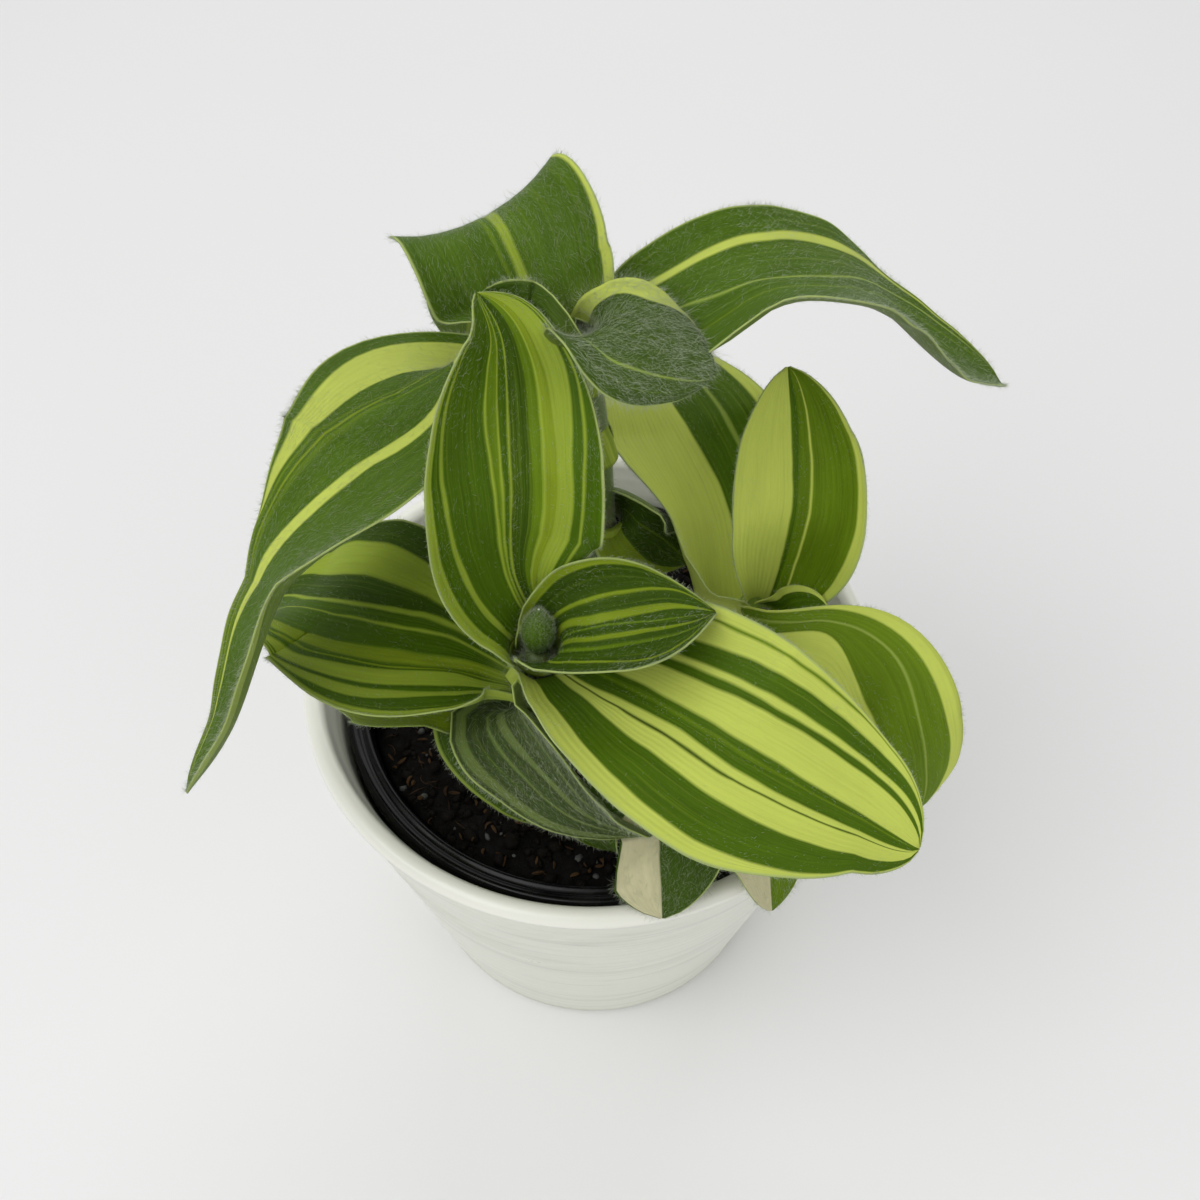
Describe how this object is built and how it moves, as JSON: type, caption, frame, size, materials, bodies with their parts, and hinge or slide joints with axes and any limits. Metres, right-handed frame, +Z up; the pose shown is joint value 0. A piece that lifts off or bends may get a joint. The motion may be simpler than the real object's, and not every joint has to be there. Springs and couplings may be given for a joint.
{
  "type": "potted tradescantia",
  "caption": "Trailing house plant with broad velvety leaves striped dark green and yellow-green, in a black nursery pot inside a round tapered glazed pot",
  "frame": {"origin": "middle of the flat underside of the outer pot, on the surface that it stands on", "axes": "+Z up; -Y is the front, towards the largest leaf and the leaves that lie over the rim; +X to the right seen from the front"},
  "size_m": [0.1458, 0.1319, 0.1937],
  "materials": {
    "glaze": "off-white satin-gloss glaze with fine dark specks and faint horizontal ripples",
    "nursery_plastic": "thin black injection-moulded plastic, slightly glossy",
    "soil": "dark moist potting soil with brown fibres and crumbs",
    "stem": "fleshy pale green stem with fine white hairs",
    "leaf": "fleshy velvety leaf, dark green with lengthwise yellow-green stripes and fine white hairs"
  },
  "bodies": {
    "root": {"cover_pot": "glaze", "nursery_pot": "nursery_plastic", "soil": "soil", "stem_tall": "stem", "stem_front": "stem", "stem_right": "stem", "stem_low": "stem", "leaf_bud_front": "leaf", "leaf_young_right": "leaf", "leaf_young_left": "leaf", "leaf_back_left": "leaf", "leaf_arching_right": "leaf", "leaf_arching_left": "leaf", "leaf_low_back": "leaf", "leaf_front_young": "leaf", "leaf_front_upright": "leaf", "leaf_front_large": "leaf", "leaf_front_left": "leaf", "leaf_front_low": "leaf", "leaf_left_low": "leaf", "leaf_front_lowest": "leaf", "leaf_right_young": "leaf", "leaf_right_upright": "leaf", "leaf_right_drooping": "leaf", "leaf_right_back": "leaf", "leaf_rim_left": "leaf", "leaf_rim_right": "leaf"}
  },
  "joints": []
}
